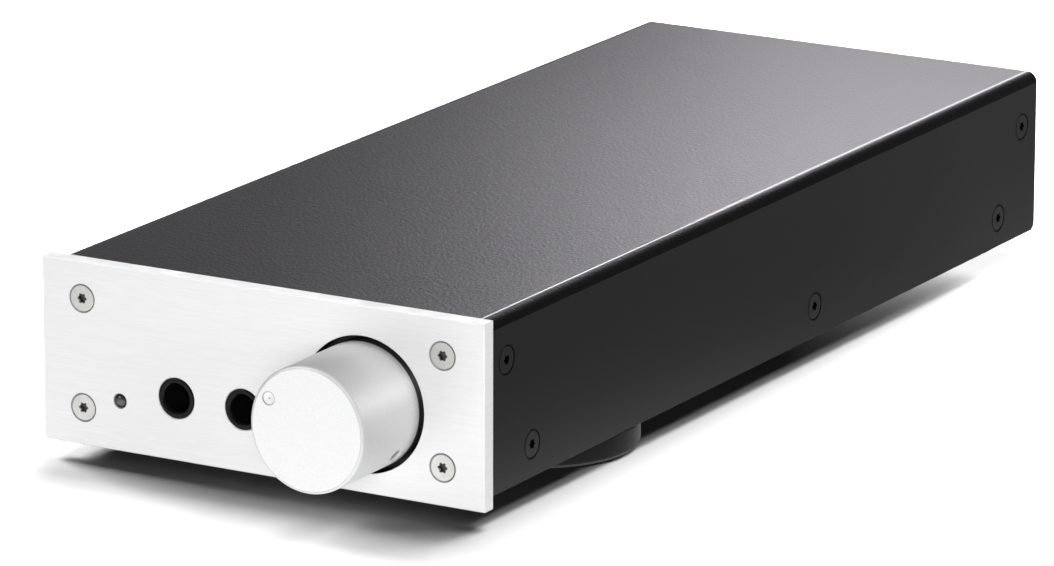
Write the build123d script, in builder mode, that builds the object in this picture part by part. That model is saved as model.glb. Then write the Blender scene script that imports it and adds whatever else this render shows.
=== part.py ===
from build123d import *
import math
import os

os.makedirs("parts", exist_ok=True)

# ---------------------------------------------------------------------------
# Headphone amplifier in a half-width metal case. Millimetres, +Z up.
# X runs to the right as seen from the front, Y runs to the back.
# Origin: centre of the footprint at the level of the foot pads.
# Names ending in _R are radii, _T thicknesses, _X/_Y/_Z positions.
# ---------------------------------------------------------------------------
# front panel and the inner plate behind it
PANEL_W, PANEL_H, PANEL_T = 110.0, 40.9, 3.6
PANEL_MID_Z = 24.5
FRONT_Y = -124.0                     # front face of the front panel
PANEL_BACK = FRONT_Y + PANEL_T
SUB_T = 1.5
SUB_BACK = PANEL_BACK + SUB_T        # back face of the inner front plate
EDGE_BREAK = 0.2
# cover
COVER_HALF_W = 53.46
COVER_T = 1.5
COVER_TOP = PANEL_MID_Z + 19.83
COVER_BOT = 5.94
COVER_END = 138.0
BEND_R = 2.5
# bottom tray
TRAY_T = 1.2
TRAY_HALF_W = 51.86                  # over the side flanges
TRAY_TOP = COVER_BOT + TRAY_T        # upper face of the floor
FLANGE_TOP = 20.0
# rear panel, and what it shares with the inner front plate
REAR_T = 2.0
REAR_Y = 137.5                       # outer face of the rear panel
REAR_INNER = REAR_Y - REAR_T
PLATE_HALF_W = 51.8
PLATE_BOT, PLATE_TOP = 6.0, 42.7
PLATE_CORNER = 1.2
EAR_T = 1.5
# M3 screws
M3_R = 1.5
M3_HEAD_R = 3.0
M3_FACE_R = 2.8                      # flat face inside the head's bevel
M3_RIM = 0.18                        # height of the bevel round the head
M3_SINK = 1.55                       # depth at which the head's cone meets the shank
M3_FIT_R = M3_R + 0.02               # close hole
M3_HOLE_R = 1.55                     # hole below a countersink
COUNTERSINK_R = 3.2
# screw places: (x, z) on the panels, (y, z) on the sides
PANEL_SCREWS = [(-44.87, 36.70), (44.87, 36.70), (-44.87, 12.40), (44.87, 12.40)]
TRAY_FRONT_SCREWS = PANEL_SCREWS[2:]
SIDE_UPPER_FRONT = (-112.1, 34.20)
SIDE_UPPER_REAR = (130.4, 32.60)
SIDE_LOWER = [(-101.4, 13.15), (26.0, 13.17), (118.7, 12.85)]
SIDE_SCREWS = [SIDE_UPPER_FRONT, SIDE_UPPER_REAR] + SIDE_LOWER
REAR_SCREWS = [(3.5, 9.6), (47.2, 9.6)]
# controls on the front
KNOB_X, KNOB_Z = 25.39, PANEL_MID_Z - 1.18
KNOB_AT = (KNOB_X, KNOB_Z)
CUTOUT_R = 14.87
SHAFT_R = 2.98
BUSH_R = 4.5
JACKS = {"left": -21.21, "right": -4.46}
JACK_Z = PANEL_MID_Z - 6.67
JACKS_AT = [(x, JACK_Z) for x in JACKS.values()]
JACK_NOSE_R, JACK_BORE_R = 4.50, 3.20
LED_X, LED_Z, LED_R = -35.48, PANEL_MID_Z - 9.31, 1.5
LED_AT = (LED_X, LED_Z)
# feet
FOOT_R = 22.5
FEET = {"front_left": (-31.2, -60.6), "front_right": (31.2, -60.6), "rear": (0.0, 76.0)}
FEET_AT = list(FEET.values())
FOOT_SCREW_R = 2.0
# circuit boards
PCB_T = 1.6
PCB_BOT = 9.5
PCB_TOP = PCB_BOT + PCB_T
# transformer
TOR_X, TOR_Y = 0.0, 18.0
TOR_AT = (TOR_X, TOR_Y)
TOR_R, TOR_HOLE_R, TOR_H = 38.5, 12.0, 26.0
TOR_PAD_T, TOR_TOP_PAD_T = 1.5, 1.0
TOR_BOT = TRAY_TOP + TOR_PAD_T
BOLT_R = 2.5
# earth screw
EARTH_X, EARTH_Y = -40.0, 76.0
EARTH_AT = (EARTH_X, EARTH_Y)
EARTH_SCREW_R = 2.0
# rear connectors
INLET_X, INLET_Z = -25.5, 24.3
INLET_AT = (INLET_X, INLET_Z)
INLET_SCREWS = [(INLET_X - 20.0, INLET_Z), (INLET_X + 20.0, INLET_Z)]
INLET_FLANGE_T = 2.5
INLET_FACE = REAR_Y + INLET_FLANGE_T
CAVITY_Z = INLET_Z + 5.0
DRAWER_Z = INLET_Z - 9.75
RCA_AT = [(12.0, 24.0), (28.0, 24.0)]
RCA_THREAD_R = 3.95
SWITCH_X, SWITCH_Z = 38.0, PCB_TOP + 3.1
SWITCH_AT = (SWITCH_X, SWITCH_Z)

ON_BASE = (Align.CENTER, Align.CENTER, Align.MIN)


# --- work planes -----------------------------------------------------------
def at_y(y, x=0):
    """Plane facing the front at depth y; its own axes are world X and Z."""
    return Plane(origin=(x, y, 0), x_dir=(1, 0, 0), z_dir=(0, -1, 0))


def at_x(x):
    """Plane facing +X; its own axes are world Y and Z."""
    return Plane(origin=(x, 0, 0), x_dir=(0, 1, 0), z_dir=(1, 0, 0))


def y_planes(points, y, sign):
    """One plane for each (x, z) point at depth y, facing +Y or -Y by sign."""
    return [Plane(origin=(x, y, z), x_dir=(1, 0, 0), z_dir=(0, sign, 0)) for x, z in points]


def x_planes(points, x, sign):
    """One plane for each (y, z) point at x, facing +X or -X by sign."""
    return [Plane(origin=(x, y, z), x_dir=(0, 1, 0), z_dir=(sign, 0, 0)) for y, z in points]


def z_planes(points, z):
    """One plane for each (x, y) point at height z, facing up."""
    return [Plane(origin=(x, y, z), x_dir=(1, 0, 0), z_dir=(0, 0, 1)) for x, y in points]


def offset_all(planes, distance):
    return [plane.offset(distance) for plane in planes]


# --- shapes added to the current sketch ------------------------------------
def circles(radius, *points):
    with Locations(*points):
        Circle(radius)


def rings(outer, inner, *points):
    with Locations(*points):
        Circle(outer)
        Circle(inner, mode=Mode.SUBTRACT)


def hex_rings(corner_radius, bore_radius, *points):
    with Locations(*points):
        RegularPolygon(corner_radius, 6)
        Circle(bore_radius, mode=Mode.SUBTRACT)


def rectangles(width, height, *points):
    with Locations(*points):
        Rectangle(width, height)


def cross(length, width):
    Rectangle(length, width)
    Rectangle(width, length)


def six_lobe(outer):
    """Six-lobe driver recess of radius outer."""
    Circle(outer * 0.76)
    with PolarLocations(outer * 0.72, 6):
        Circle(outer * 0.28)


def end_plate_profile(sketch):
    """Outline shared by the inner front plate and the rear panel, upper corners cut."""
    rectangles(2 * PLATE_HALF_W, PLATE_TOP - PLATE_BOT, (0, (PLATE_BOT + PLATE_TOP) / 2))
    chamfer(sketch.vertices().sort_by(Axis.Y)[-2:], PLATE_CORNER)


# --- shapes added to the current part --------------------------------------
def cylinders(radius, height, *places):
    with Locations(*places):
        Cylinder(radius, height, align=ON_BASE)


def boxes(length, width, height, *places):
    with Locations(*places):
        Box(length, width, height, align=ON_BASE)


def holes(radius, depth, *places):
    with Locations(*places):
        Hole(radius, depth=depth)


def countersinks(depth, planes):
    with Locations(*planes):
        CounterSinkHole(radius=M3_HOLE_R, counter_sink_radius=COUNTERSINK_R, depth=depth,
                        counter_sink_angle=90)


# --- whole pieces ----------------------------------------------------------
def save(piece, name):
    piece.part.label = name
    export_step(piece.part, "parts/" + name + ".step")


def save_countersunk_screws(name, heads, shank):
    """M3 screws whose faces lie on the planes heads and whose shanks run along the normals."""
    with BuildPart() as screws:
        with Locations(*heads):
            Cone(M3_FACE_R, M3_HEAD_R, M3_RIM, align=ON_BASE)
        with Locations(*offset_all(heads, M3_RIM)):
            Cone(M3_HEAD_R, M3_R, M3_SINK - M3_RIM, align=ON_BASE)
        cylinders(M3_R, shank, *offset_all(heads, M3_SINK))
        with BuildSketch(*heads):
            six_lobe(1.2)
        extrude(amount=1.3, mode=Mode.SUBTRACT)
    save(screws, name)


def save_wires(name, radius, routes, end_tangent):
    """Round wires along splines that all set out towards the front."""
    with BuildPart() as wires:
        for points in routes:
            with BuildLine() as route:
                Spline(*points, tangents=[(0, -1, 0), end_tangent])
            with BuildSketch(Plane(origin=points[0], z_dir=(0, -1, 0))):
                Circle(radius)
            sweep(path=route.line)
    save(wires, name)


# ===========================================================================
# Case
# ===========================================================================
with BuildPart() as front_panel:
    with BuildSketch(at_y(FRONT_Y)):
        rectangles(PANEL_W, PANEL_H, (0, PANEL_MID_Z))
    extrude(amount=-PANEL_T)
    chamfer(front_panel.faces().sort_by(Axis.Y)[0].edges(), EDGE_BREAK)
    with BuildSketch(at_y(FRONT_Y)):
        circles(CUTOUT_R, KNOB_AT)
        circles(JACK_NOSE_R + 0.05, *JACKS_AT)
        circles(LED_R + 0.03, LED_AT)
    extrude(amount=-PANEL_T, mode=Mode.SUBTRACT)
    chamfer(front_panel.edges().filter_by(GeomType.CIRCLE).group_by(Axis.Y)[0], EDGE_BREAK)
    countersinks(PANEL_T + 1, y_planes(PANEL_SCREWS, FRONT_Y, -1))
save(front_panel, "front_panel")

save_countersunk_screws("front_panel_screws", y_planes(PANEL_SCREWS, FRONT_Y, 1), 7.0 - M3_SINK)

# folded inner plate that carries the front panel, with two ears bent back
FRONT_EAR_REACH, FRONT_EAR_H = 17.0, 16.0     # reach is from the plate's front face
FRONT_EAR_END = PANEL_BACK + FRONT_EAR_REACH
with BuildPart() as front_subpanel:
    with BuildSketch(at_y(PANEL_BACK)) as sub_profile:
        end_plate_profile(sub_profile)
    extrude(amount=-SUB_T)
    for sign in (-1, 1):
        with BuildSketch(at_x(sign * PLATE_HALF_W)):
            rectangles(FRONT_EAR_REACH - SUB_T, FRONT_EAR_H, ((SUB_BACK + FRONT_EAR_END) / 2, 34.0))
        extrude(amount=-sign * EAR_T)
    with BuildSketch(at_y(PANEL_BACK)):
        circles(BUSH_R + 0.10, KNOB_AT)
        circles(JACK_NOSE_R + 0.20, *JACKS_AT)
        circles(2.6, LED_AT)
        circles(M3_FIT_R, *PANEL_SCREWS)
    extrude(amount=-SUB_T, mode=Mode.SUBTRACT)
    for sign in (-1, 1):
        holes(M3_FIT_R, EAR_T + 1, *x_planes([SIDE_UPPER_FRONT], sign * PLATE_HALF_W, sign))
save(front_subpanel, "front_subpanel")

# bottom tray folded from sheet: floor, two side flanges, tabs at both ends
TRAY_OPEN = FLANGE_TOP + 5           # the cut between the flanges runs out above them
FRONT_TAB_TOP, REAR_TAB_TOP = 16.6, 13.0
REAR_TABS = [(3.5, 9.0), (47.2, 7.0)]         # x, width
with BuildPart() as bottom_tray:
    with BuildSketch(at_y(SUB_BACK)):
        rectangles(2 * TRAY_HALF_W, FLANGE_TOP - COVER_BOT, (0, (COVER_BOT + FLANGE_TOP) / 2))
        with Locations((0, (TRAY_TOP + TRAY_OPEN) / 2)):
            Rectangle(2 * (TRAY_HALF_W - TRAY_T), TRAY_OPEN - TRAY_TOP, mode=Mode.SUBTRACT)
    extrude(amount=-(REAR_INNER - SUB_BACK))
    fillet(bottom_tray.edges().filter_by(Axis.Y).group_by(Axis.Z)[0], 1.8)
    with BuildSketch(at_y(SUB_BACK)):
        for sign in (-1, 1):
            rectangles(11.0, FRONT_TAB_TOP - TRAY_TOP, (sign * 45.3, (TRAY_TOP + FRONT_TAB_TOP) / 2))
    extrude(amount=-TRAY_T)
    with BuildSketch(at_y(REAR_INNER)):
        for tab_x, tab_w in REAR_TABS:
            rectangles(tab_w, REAR_TAB_TOP - TRAY_TOP, (tab_x, (TRAY_TOP + REAR_TAB_TOP) / 2))
    extrude(amount=TRAY_T)
    with BuildSketch(at_y(SUB_BACK)):
        circles(M3_FIT_R, *TRAY_FRONT_SCREWS)
    extrude(amount=-TRAY_T, mode=Mode.SUBTRACT)
    with BuildSketch(at_y(REAR_INNER)):
        circles(M3_FIT_R, *REAR_SCREWS)
    extrude(amount=TRAY_T, mode=Mode.SUBTRACT)
    for sign in (-1, 1):
        holes(M3_FIT_R, TRAY_T + 0.8, *x_planes(SIDE_LOWER, sign * TRAY_HALF_W, sign))
    holes(FOOT_SCREW_R + 0.05, TRAY_T, *[(x, y, TRAY_TOP) for x, y in FEET_AT])
    holes(BOLT_R + 0.1, TRAY_T, (*TOR_AT, TRAY_TOP))
    holes(EARTH_SCREW_R + 0.02, TRAY_T, (*EARTH_AT, TRAY_TOP))
save(bottom_tray, "bottom_tray")

# cover folded from sheet: top and two sides, lower rear corners rounded off
COVER_CUT_BOT = COVER_BOT - 4        # the inside is cut out past the lower edge
COVER_CUT_TOP = COVER_TOP - COVER_T
with BuildPart() as top_cover:
    with BuildSketch(at_y(PANEL_BACK)) as cover_profile:
        rectangles(2 * COVER_HALF_W, COVER_TOP - COVER_BOT, (0, (COVER_BOT + COVER_TOP) / 2))
        fillet(cover_profile.vertices().sort_by(Axis.Y)[-2:], BEND_R)
        with Locations((0, (COVER_CUT_BOT + COVER_CUT_TOP) / 2)):
            RectangleRounded(2 * (COVER_HALF_W - COVER_T), COVER_CUT_TOP - COVER_CUT_BOT,
                             BEND_R - COVER_T, mode=Mode.SUBTRACT)
    extrude(amount=-(COVER_END - PANEL_BACK))
    fillet(top_cover.edges().filter_by(Axis.X).group_by(Axis.Z)[0].sort_by(Axis.Y)[-2:], 2.0)
    for sign in (-1, 1):
        countersinks(COVER_T + 0.2, x_planes(SIDE_SCREWS, sign * COVER_HALF_W, sign))
save(top_cover, "top_cover")

# rear panel, with two ears bent forward
REAR_EAR_Y, REAR_EAR_H = 123.5, 13.0          # front end and height of the ears
with BuildPart() as rear_panel:
    with BuildSketch(at_y(REAR_Y)) as rear_profile:
        end_plate_profile(rear_profile)
    extrude(amount=REAR_T)
    for sign in (-1, 1):
        with BuildSketch(at_x(sign * PLATE_HALF_W)):
            rectangles(REAR_INNER - REAR_EAR_Y, REAR_EAR_H,
                       ((REAR_INNER + REAR_EAR_Y) / 2, SIDE_UPPER_REAR[1]))
        extrude(amount=-sign * EAR_T)
    with BuildSketch(at_y(REAR_Y)):
        rectangles(27.8, 30.2, INLET_AT)
        circles(M3_FIT_R, *INLET_SCREWS)
        circles(RCA_THREAD_R + 0.05, *RCA_AT)
        rectangles(5.6, 6.4, SWITCH_AT)
    extrude(amount=REAR_T, mode=Mode.SUBTRACT)
    countersinks(REAR_T + 1, y_planes(REAR_SCREWS, REAR_Y, 1))
    for sign in (-1, 1):
        holes(M3_FIT_R, EAR_T + 1, *x_planes([SIDE_UPPER_REAR], sign * PLATE_HALF_W, sign))
save(rear_panel, "rear_panel")

side_heads = [p for sign in (-1, 1) for p in x_planes(SIDE_SCREWS, sign * COVER_HALF_W, -sign)]
save_countersunk_screws("cover_side_screws", side_heads, 4.4)

# round clinch nuts pressed to the inner side of flanges and ears, and above the feet
NUT_H = 2.2
with BuildPart() as clinch_nuts:
    nut_planes = []
    for sign in (-1, 1):
        nut_planes += x_planes(SIDE_LOWER, sign * (TRAY_HALF_W - TRAY_T), -sign)
        nut_planes += x_planes([SIDE_UPPER_FRONT, SIDE_UPPER_REAR],
                               sign * (PLATE_HALF_W - EAR_T), -sign)
    cylinders(2.9, NUT_H, *nut_planes)
    with BuildSketch(*nut_planes):
        Circle(M3_FIT_R)
    extrude(amount=NUT_H, mode=Mode.SUBTRACT)
    with BuildSketch(Plane.XY.offset(TRAY_TOP)):
        rings(3.8, FOOT_SCREW_R + 0.02, *FEET_AT)
    extrude(amount=1.9)
save(clinch_nuts, "clinch_nuts")

# four alike: two into the tray's tabs, two through the mains inlet's flange
rear_heads = y_planes(REAR_SCREWS, REAR_Y, -1) + y_planes(INLET_SCREWS, INLET_FACE, -1)
save_countersunk_screws("rear_screws", rear_heads, 5.5)

# ===========================================================================
# Feet: turned discs with a ring pad let into the underside
# ===========================================================================
PAD_T = 1.6                          # the pad's groove reaches up to this height
# half section: radius, height above the table
FOOT_PROFILE = [
    (2.1, COVER_BOT), (2.1, 3.4), (4.6, 3.4), (4.6, 0.35), (9.0, 0.35), (9.0, PAD_T),
    (19.6, PAD_T), (19.6, 0.35), (21.5, 0.35), (22.25, 1.1), (22.25, 1.35), (FOOT_R, 1.5),
    (FOOT_R, COVER_BOT - 0.3), (FOOT_R - 0.3, COVER_BOT),
]

for foot_name, (foot_x, foot_y) in FEET.items():
    with BuildPart() as foot:
        with BuildSketch(at_y(foot_y, foot_x)):
            with BuildLine():
                Polyline(*FOOT_PROFILE, close=True)
            make_face()
        revolve(axis=Axis((foot_x, foot_y, 0), (0, 0, 1)))
    save(foot, "foot_" + foot_name)

with BuildPart() as foot_pads:
    with BuildSketch(Plane.XY):
        rings(19.5, 9.1, *FEET_AT)
    extrude(amount=PAD_T)
    chamfer(foot_pads.edges().filter_by(GeomType.CIRCLE).group_by(Axis.Z)[0], 0.3)
save(foot_pads, "foot_pads")

FOOT_HEAD_H = 2.5
with BuildPart() as foot_screws:
    foot_heads = z_planes(FEET_AT, 0.9)
    cylinders(3.9, FOOT_HEAD_H, *foot_heads)
    cylinders(FOOT_SCREW_R, 5.7, *offset_all(foot_heads, FOOT_HEAD_H))
    with BuildSketch(*foot_heads):
        six_lobe(2.2)
    extrude(amount=1.6, mode=Mode.SUBTRACT)
save(foot_screws, "foot_screws")

# ===========================================================================
# Boards and what stands on them
# ===========================================================================
# x0, x1, y0, y1
MAIN_EDGES = (-48.0, 48.0, -116.4, -29.0)
INPUT_EDGES = (7.0, 44.0, 100.0, 134.0)
MAIN_STANDOFFS = [(-44.0, -100.0), (44.0, -96.0), (-44.0, -34.0), (44.0, -34.0)]
INPUT_STANDOFFS = [(11.0, 104.0), (40.0, 104.0)]
STANDOFFS = MAIN_STANDOFFS + INPUT_STANDOFFS


def save_board(name, edges, standoffs):
    """Board with rounded corners and one hole for each standoff."""
    x0, x1, y0, y1 = edges
    with BuildPart() as board:
        with BuildSketch(Plane.XY.offset(PCB_BOT)):
            rectangles(x1 - x0, y1 - y0, ((x0 + x1) / 2, (y0 + y1) / 2))
            with Locations(*standoffs):
                Circle(1.6, mode=Mode.SUBTRACT)
        extrude(amount=PCB_T)
        fillet(board.edges().filter_by(Axis.Z).filter_by(GeomType.LINE), 1.5)
    save(board, name)


save_board("main_board", MAIN_EDGES, MAIN_STANDOFFS)
save_board("input_board", INPUT_EDGES, INPUT_STANDOFFS)

with BuildPart() as board_spacers:
    with BuildSketch(Plane.XY.offset(TRAY_TOP)):
        hex_rings(3.2, M3_FIT_R, *STANDOFFS)
    extrude(amount=PCB_BOT - TRAY_TOP)
save(board_spacers, "board_spacers")

BOARD_HEAD_H, BOARD_SHANK = 1.8, 3.6
with BuildPart() as board_screws:
    board_heads = z_planes(STANDOFFS, PCB_TOP)
    cylinders(2.8, BOARD_HEAD_H, *board_heads)
    cylinders(M3_R, BOARD_SHANK, *offset_all(board_heads, -BOARD_SHANK))
    with BuildSketch(*offset_all(board_heads, BOARD_HEAD_H)):
        cross(3.2, 0.7)
    extrude(amount=-1.2, mode=Mode.SUBTRACT)
save(board_screws, "board_screws")

# row of four cans, each with a groove round its foot
CAP_R, CAP_H, CAP_PITCH = 8.0, 25.0, 18.4
CAPS_AT = [(-36.0 + CAP_PITCH * i, -44.0) for i in range(4)]
with BuildPart() as reservoir_capacitors:
    cylinders(CAP_R, CAP_H, *z_planes(CAPS_AT, PCB_TOP))
    fillet(reservoir_capacitors.edges().filter_by(GeomType.CIRCLE).group_by(Axis.Z)[-1], 1.2)
    with BuildSketch(Plane.XY.offset(PCB_TOP + 3.0)):
        rings(CAP_R + 0.5, CAP_R - 0.5, *CAPS_AT)
    extrude(amount=0.9, mode=Mode.SUBTRACT)
save(reservoir_capacitors, "reservoir_capacitors")

FILM_CAPS = [(-43.5, -88.0), (-43.5, -74.0), (43.5, -84.0), (43.5, -70.0)]
with BuildPart() as film_capacitors:
    boxes(5.2, 11.0, 10.0, *[(x, y, PCB_TOP) for x, y in FILM_CAPS])
    fillet(film_capacitors.edges().group_by(Axis.Z)[-1], 0.6)
save(film_capacitors, "film_capacitors")

# upright block on four legs, one upper corner cut
RECT_X, RECT_Y = 43.0, -52.0
RECT_LEGS = (-7.5, -2.5, 2.5, 7.5)
with BuildPart() as rectifier:
    boxes(6.0, 19.0, 15.0, (RECT_X, RECT_Y, PCB_TOP + 3.0))
    boxes(1.0, 1.2, 3.4, *[(RECT_X, RECT_Y + dy, PCB_TOP) for dy in RECT_LEGS])
    chamfer(rectifier.edges().filter_by(Axis.X).group_by(Axis.Z)[-1].sort_by(Axis.Y)[-1], 2.5)
save(rectifier, "rectifier")

# eight-legged packages with a half-round notch in the left end
OPAMP_L, OPAMP_H, OPAMP_LIFT = 9.4, 3.3, 0.8
LEG_PITCH = 2.54
OPAMPS = [(-30.0, -78.5), (-14.0, -78.5), (2.0, -78.5)]
with BuildPart() as op_amps:
    boxes(OPAMP_L, 6.4, OPAMP_H, *[(x, y, PCB_TOP + OPAMP_LIFT) for x, y in OPAMPS])
    with BuildSketch(Plane.XY.offset(PCB_TOP + OPAMP_LIFT + OPAMP_H)):
        circles(0.9, *[(x - OPAMP_L / 2, y) for x, y in OPAMPS])
    extrude(amount=-0.5, mode=Mode.SUBTRACT)
    boxes(1.0, 1.0, 2.4, *[(x + step * LEG_PITCH, y + sign * 3.6, PCB_TOP)
                           for x, y in OPAMPS for step in (-1.5, -0.5, 0.5, 1.5)
                           for sign in (-1, 1)])
save(op_amps, "op_amps")

with BuildPart() as output_relay:
    boxes(20.0, 10.0, 10.5, (21.0, -78.5, PCB_TOP))
    fillet(output_relay.edges().group_by(Axis.Z)[-1], 0.8)
save(output_relay, "output_relay")

# heat sink: plate across the board with fins behind, transistors on its front
SINK_Y, SINK_T = -64.0, 3.0
SINK_FRONT = SINK_Y - SINK_T / 2
FIN_PITCH = 7.0
TRANSISTORS_X = [-27.0, -9.0, 9.0, 27.0]
TAB_SCREW_Z = PCB_TOP + 20.0
TAB_SCREWS = [(x, TAB_SCREW_Z) for x in TRANSISTORS_X]
with BuildPart() as heat_sink:
    with BuildSketch(Plane.XY.offset(PCB_TOP + 0.6)):
        rectangles(74.0, SINK_T, (0, SINK_Y))
        rectangles(1.6, 6.2, *[(-35.0 + FIN_PITCH * i, SINK_Y + 4.4) for i in range(11)])
    extrude(amount=25.0)
    with BuildSketch(at_y(SINK_FRONT)):
        circles(M3_FIT_R, *TAB_SCREWS)
    extrude(amount=-SINK_T, mode=Mode.SUBTRACT)
    cylinders(0.9, 1.0, (-33.0, SINK_Y, PCB_TOP), (33.0, SINK_Y, PCB_TOP))
save(heat_sink, "heat_sink")

TAB_T = 1.3
TAB_FRONT = SINK_FRONT - TAB_T
with BuildPart() as output_transistors:
    with BuildSketch(at_y(SINK_FRONT)):
        rectangles(10.0, 15.6, *[(x, PCB_TOP + 15.2) for x in TRANSISTORS_X])
        with Locations(*TAB_SCREWS):
            Circle(1.8, mode=Mode.SUBTRACT)
    extrude(amount=TAB_T)
    with BuildSketch(at_y(TAB_FRONT)):
        rectangles(9.8, 9.2, *[(x, PCB_TOP + 12.0) for x in TRANSISTORS_X])
    extrude(amount=3.2)
    boxes(0.8, 0.6, 7.6, *[(x + dx, TAB_FRONT - 1.5, PCB_TOP)
                           for x in TRANSISTORS_X for dx in (-LEG_PITCH, 0, LEG_PITCH)])
save(output_transistors, "output_transistors")

TAB_HEAD_H = 2.0
with BuildPart() as transistor_screws:
    tab_planes = y_planes(TAB_SCREWS, TAB_FRONT, 1)
    cylinders(M3_R, 4.2, *tab_planes)
    cylinders(2.7, TAB_HEAD_H, *offset_all(tab_planes, -TAB_HEAD_H))
save(transistor_screws, "transistor_screws")

# ===========================================================================
# Mains transformer, held to the floor by one bolt through its middle
# ===========================================================================
with BuildPart() as transformer:
    with BuildSketch(Plane.XY.offset(TOR_BOT)):
        rings(TOR_R, TOR_HOLE_R, TOR_AT)
    extrude(amount=TOR_H)
    fillet(transformer.edges().filter_by(GeomType.CIRCLE).filter_by(lambda e: e.radius > 20), 7.5)
    fillet(transformer.edges().filter_by(GeomType.CIRCLE).filter_by(lambda e: e.radius < 12.5), 4.0)
save(transformer, "transformer")

with BuildPart() as transformer_pads:
    for pad_z, pad_t in ((TRAY_TOP, TOR_PAD_T), (TOR_BOT + TOR_H, TOR_TOP_PAD_T)):
        with BuildSketch(Plane.XY.offset(pad_z)):
            rings(31.0, 6.0, TOR_AT)
        extrude(amount=pad_t)
save(transformer_pads, "transformer_pads")

CLAMP_Z = TOR_BOT + TOR_H + TOR_TOP_PAD_T
CLAMP_RIM_Z = CLAMP_Z + 1.2
CLAMP_TOP = CLAMP_Z + 1.6
CLAMP_R, CLAMP_BORE_R = 29.0, 2.6
# half section: radius, height
CLAMP_PROFILE = [
    (CLAMP_BORE_R, CLAMP_Z), (CLAMP_R, CLAMP_Z), (CLAMP_R, CLAMP_RIM_Z),
    (9.0, CLAMP_RIM_Z), (8.0, CLAMP_TOP), (CLAMP_BORE_R, CLAMP_TOP),
]
with BuildPart() as transformer_clamp:
    with BuildSketch(at_y(TOR_Y, TOR_X)):
        with BuildLine():
            Polyline(*CLAMP_PROFILE, close=True)
        make_face()
    revolve(axis=Axis((TOR_X, TOR_Y, 0), (0, 0, 1)))
save(transformer_clamp, "transformer_clamp")

BOLT_HEAD_H = 2.4
BOLT_HEAD_Z = COVER_BOT - BOLT_HEAD_H
with BuildPart() as transformer_bolt:
    cylinders(4.6, BOLT_HEAD_H, (*TOR_AT, BOLT_HEAD_Z))
    cylinders(BOLT_R, 35.8, (*TOR_AT, COVER_BOT))
    with BuildSketch(*z_planes([TOR_AT], BOLT_HEAD_Z)):
        six_lobe(2.2)
    extrude(amount=1.6, mode=Mode.SUBTRACT)
save(transformer_bolt, "transformer_bolt")

with BuildPart() as transformer_nut:
    with BuildSketch(Plane.XY.offset(CLAMP_TOP)):
        hex_rings(4.6, BOLT_R + 0.02, TOR_AT)
    extrude(amount=3.9)
save(transformer_nut, "transformer_nut")

# ===========================================================================
# Volume control
# ===========================================================================
# hollow square body with a bush through the inner front plate and lugs on the board
POT_LEN, POT_WIDTH, POT_WALL = 22.0, 24.2, 2.0
BUSH_LEN = 3.9
with BuildPart() as potentiometer_body:
    with BuildSketch(at_y(SUB_BACK)):
        rectangles(POT_WIDTH, POT_WIDTH, KNOB_AT)
    extrude(amount=-POT_LEN)
    with BuildSketch(at_y(SUB_BACK + POT_WALL)):
        circles(10.3, KNOB_AT)
    extrude(amount=-(POT_LEN - 2 * POT_WALL), mode=Mode.SUBTRACT)
    with BuildSketch(at_y(SUB_BACK)):
        circles(BUSH_R, KNOB_AT)
    extrude(amount=BUSH_LEN)
    with BuildSketch(at_y(SUB_BACK - BUSH_LEN)):
        circles(SHAFT_R + 0.05, KNOB_AT)
    extrude(amount=-(BUSH_LEN + POT_WALL), mode=Mode.SUBTRACT)
    boxes(1.6, 1.2, 0.6, *[(KNOB_X + dx, SUB_BACK + POT_LEN - 4.0, PCB_TOP)
                           for dx in (-5.0, 0.0, 5.0)])
save(potentiometer_body, "potentiometer_body")

with BuildPart() as potentiometer_nut:
    with BuildSketch(at_y(PANEL_BACK)):
        hex_rings(6.6, BUSH_R + 0.02, KNOB_AT)
    extrude(amount=1.8)
save(potentiometer_nut, "potentiometer_nut")

# shaft with a collar inside the body
SHAFT_BACK, SHAFT_FRONT = SUB_BACK + 6.0, FRONT_Y - 17.5
COLLAR_T = 1.6
with BuildPart() as potentiometer_shaft:
    with BuildSketch(at_y(SHAFT_BACK)):
        circles(SHAFT_R, KNOB_AT)
    extrude(amount=SHAFT_BACK - SHAFT_FRONT)
    with BuildSketch(at_y(SHAFT_BACK - COLLAR_T)):
        circles(4.0, KNOB_AT)
    extrude(amount=COLLAR_T)
    chamfer(potentiometer_shaft.edges().filter_by(GeomType.CIRCLE).group_by(Axis.Y)[0], 0.5)
save(potentiometer_shaft, "potentiometer_shaft")

# wiper disc with one spring arm, fixed to the back of the shaft inside the body
with BuildPart() as potentiometer_wiper:
    with BuildSketch(at_y(SHAFT_BACK)):
        circles(6.5, KNOB_AT)
        with Locations((KNOB_X - 5.0, KNOB_Z + 3.06)):
            Rectangle(7.8, 3.0, rotation=-31.5)
    extrude(amount=-2.0)
save(potentiometer_wiper, "potentiometer_wiper")

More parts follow.
